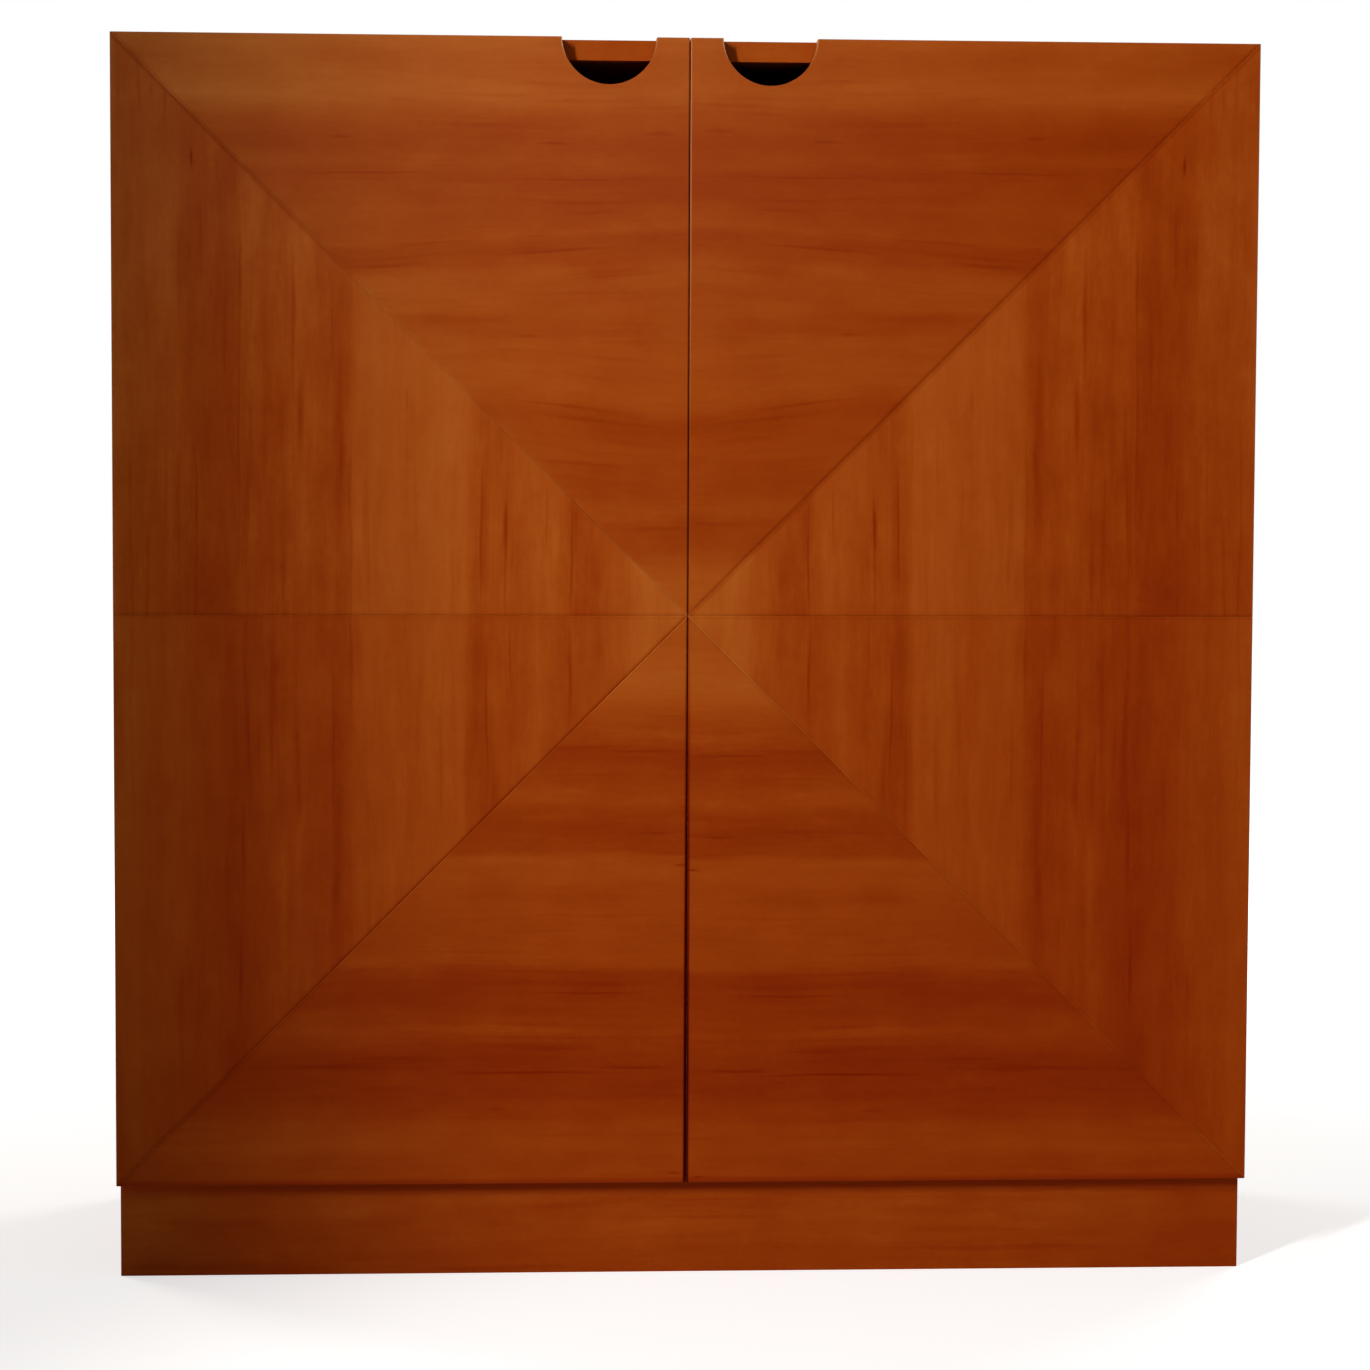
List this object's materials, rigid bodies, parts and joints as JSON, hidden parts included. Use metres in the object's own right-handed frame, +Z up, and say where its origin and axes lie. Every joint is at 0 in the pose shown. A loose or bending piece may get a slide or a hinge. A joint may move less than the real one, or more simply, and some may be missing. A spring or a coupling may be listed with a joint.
{
  "type": "two-door cabinet",
  "caption": "Tall credenza cabinet with hinged veneered doors in a box-matched grain pattern, half-round finger pulls, inner shelves and a recessed plinth.",
  "frame": {"origin": "on the floor, under the middle of the closed cabinet's outline", "axes": "+Z up, doors face -Y, +X to the right of someone who faces the doors"},
  "size_m": [1.14, 0.44, 1.24],
  "materials": {
    "face_veneer": "figured red-brown veneer, satin lacquer",
    "carcass_veneer": "straight-grained red-brown veneer, satin lacquer",
    "plinth_veneer": "red-brown veneer with level grain, satin lacquer",
    "door_edging": "solid wood strips, satin lacquer",
    "door_back_veneer": "plain red-brown veneer, thin lacquer",
    "core_board": "raw board",
    "plain_wood": "planed softwood, unfinished",
    "plywood": "plywood, thin lacquer",
    "hinge_nickel": "nickel plated steel",
    "screw_steel": "zinc plated steel",
    "strike_steel": "plain steel sheet",
    "catch_plastic": "dark brown moulded plastic",
    "magnet": "ferrite and steel pole plates",
    "bumper_rubber": "soft clear-grey bumper"
  },
  "bodies": {
    "carcass": {"left_side": "carcass_veneer", "right_side": "carcass_veneer", "top_panel": "carcass_veneer", "bottom_panel": "carcass_veneer", "centre_partition": "carcass_veneer", "plinth_front": "plinth_veneer", "plinth_back": "plinth_veneer", "plinth_left": "plinth_veneer", "plinth_right": "plinth_veneer", "plinth_cross_rail": "plain_wood", "plinth_corner_blocks": "plain_wood", "carcass_dowels": "plain_wood", "back_panel": "plywood", "mitre_tongues": "plywood", "back_panel_screws": "screw_steel", "plinth_screws": "screw_steel", "catch_bodies": "catch_plastic", "catch_magnets": "magnet", "catch_screws": "screw_steel", "left_shelf_1": "carcass_veneer", "left_shelf_2": "carcass_veneer", "left_shelf_supports": "hinge_nickel", "left_hinge_plates": "hinge_nickel", "left_hinge_plate_screws": "screw_steel", "left_hinge_arms": "hinge_nickel", "left_hinge_arm_screws": "screw_steel", "right_shelf_1": "carcass_veneer", "right_shelf_2": "carcass_veneer", "right_shelf_supports": "hinge_nickel", "right_hinge_plates": "hinge_nickel", "right_hinge_plate_screws": "screw_steel", "right_hinge_arms": "hinge_nickel", "right_hinge_arm_screws": "screw_steel"},
    "left_door": {"left_door_core": "core_board", "left_door_edging": "door_edging", "left_door_back_veneer": "door_back_veneer", "left_door_bumpers": "bumper_rubber", "left_hinge_cups": "hinge_nickel", "left_hinge_pins": "hinge_nickel", "left_hinge_cup_screws": "screw_steel", "left_strike_plate": "strike_steel", "left_strike_screw": "screw_steel", "left_door_top_leaf": "face_veneer", "left_door_upper_leaf": "face_veneer", "left_door_lower_leaf": "face_veneer", "left_door_bottom_leaf": "face_veneer"},
    "right_door": {"right_door_core": "core_board", "right_door_edging": "door_edging", "right_door_back_veneer": "door_back_veneer", "right_door_bumpers": "bumper_rubber", "right_hinge_cups": "hinge_nickel", "right_hinge_pins": "hinge_nickel", "right_hinge_cup_screws": "screw_steel", "right_strike_plate": "strike_steel", "right_strike_screw": "screw_steel", "right_door_top_leaf": "face_veneer", "right_door_upper_leaf": "face_veneer", "right_door_lower_leaf": "face_veneer", "right_door_bottom_leaf": "face_veneer"}
  },
  "joints": [
    {"name": "left_door_hinge", "type": "hinge", "parent": "carcass", "child": "left_door", "pos_m": [-0.5625, -0.21, 0.67], "axis": [0, 0, -1], "range_deg": [0, 95]},
    {"name": "right_door_hinge", "type": "hinge", "parent": "carcass", "child": "right_door", "pos_m": [0.5625, -0.21, 0.67], "axis": [0, 0, 1], "range_deg": [0, 95]}
  ]
}
